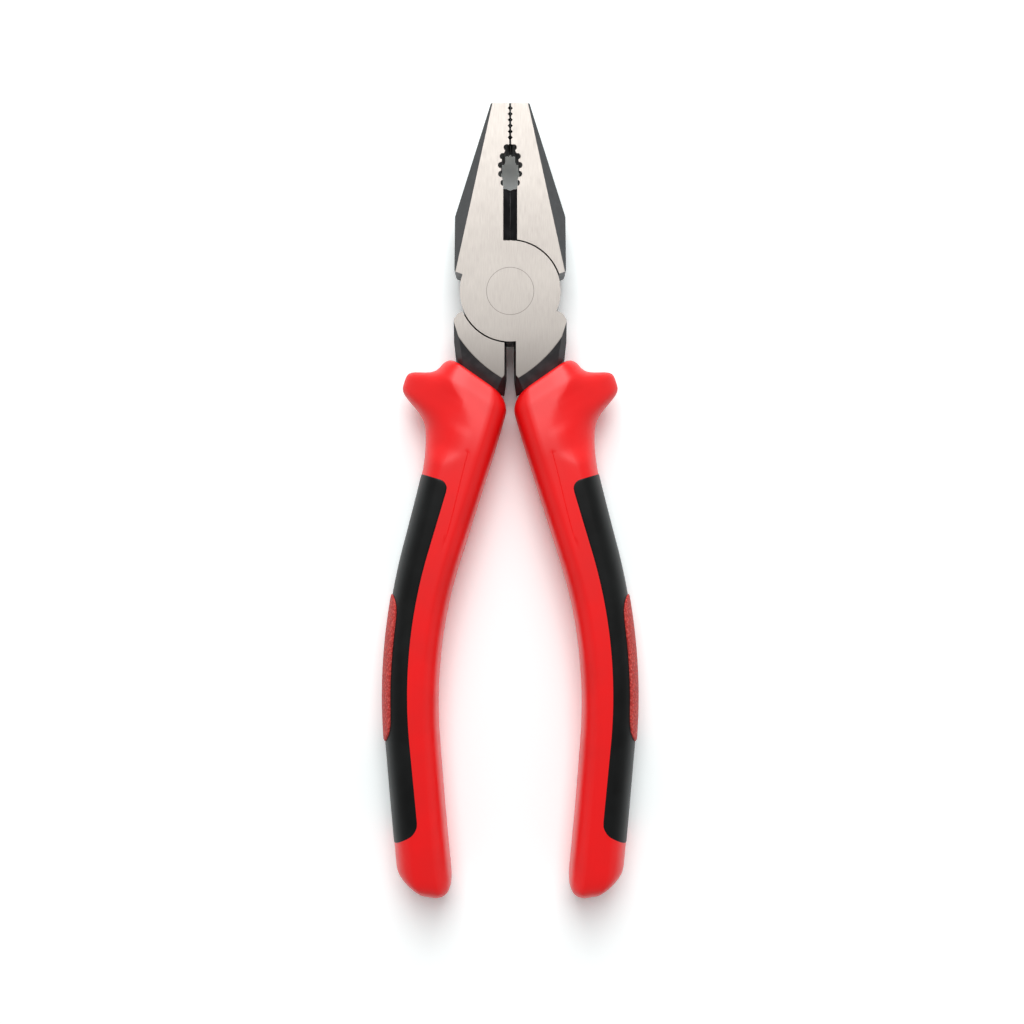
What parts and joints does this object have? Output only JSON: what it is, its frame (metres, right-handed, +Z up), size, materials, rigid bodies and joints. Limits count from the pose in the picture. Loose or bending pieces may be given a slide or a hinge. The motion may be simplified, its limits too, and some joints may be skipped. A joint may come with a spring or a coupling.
{
  "type": "combination pliers",
  "caption": "Combination pliers with ground flat nose, pipe grip and wire cutter, forged halves lapped on a flush rivet, and guarded red and black moulded grips.",
  "frame": {"origin": "middle of the closed tool's length and width, on the surface that its grips lie on", "axes": "+Y from the handles to the nose, +Z up off the surface, square to the ground faces; +X to the right-hand grip"},
  "size_m": [0.065, 0.1999, 0.0172],
  "materials": {
    "forged_steel": "ground bright on the flat faces, blackened elsewhere",
    "rivet_steel": "ground flush with the faces",
    "grip_red": "satin moulded",
    "insert_black": "matt moulded",
    "pad_red": "matt, stippled"
  },
  "bodies": {
    "front_lever": {"front_half": "forged_steel", "pivot_rivet": "rivet_steel", "right_grip_body": "grip_red", "right_grip_insert": "insert_black", "right_grip_pad": "pad_red"},
    "rear_lever": {"rear_half": "forged_steel", "left_grip_body": "grip_red", "left_grip_insert": "insert_black", "left_grip_pad": "pad_red"}
  },
  "joints": [
    {"name": "jaw_pivot", "type": "hinge", "parent": "front_lever", "child": "rear_lever", "pos_m": [0, 0.05306, 0.0086], "axis": [0, 0, -1], "range_deg": [0, 40]}
  ]
}
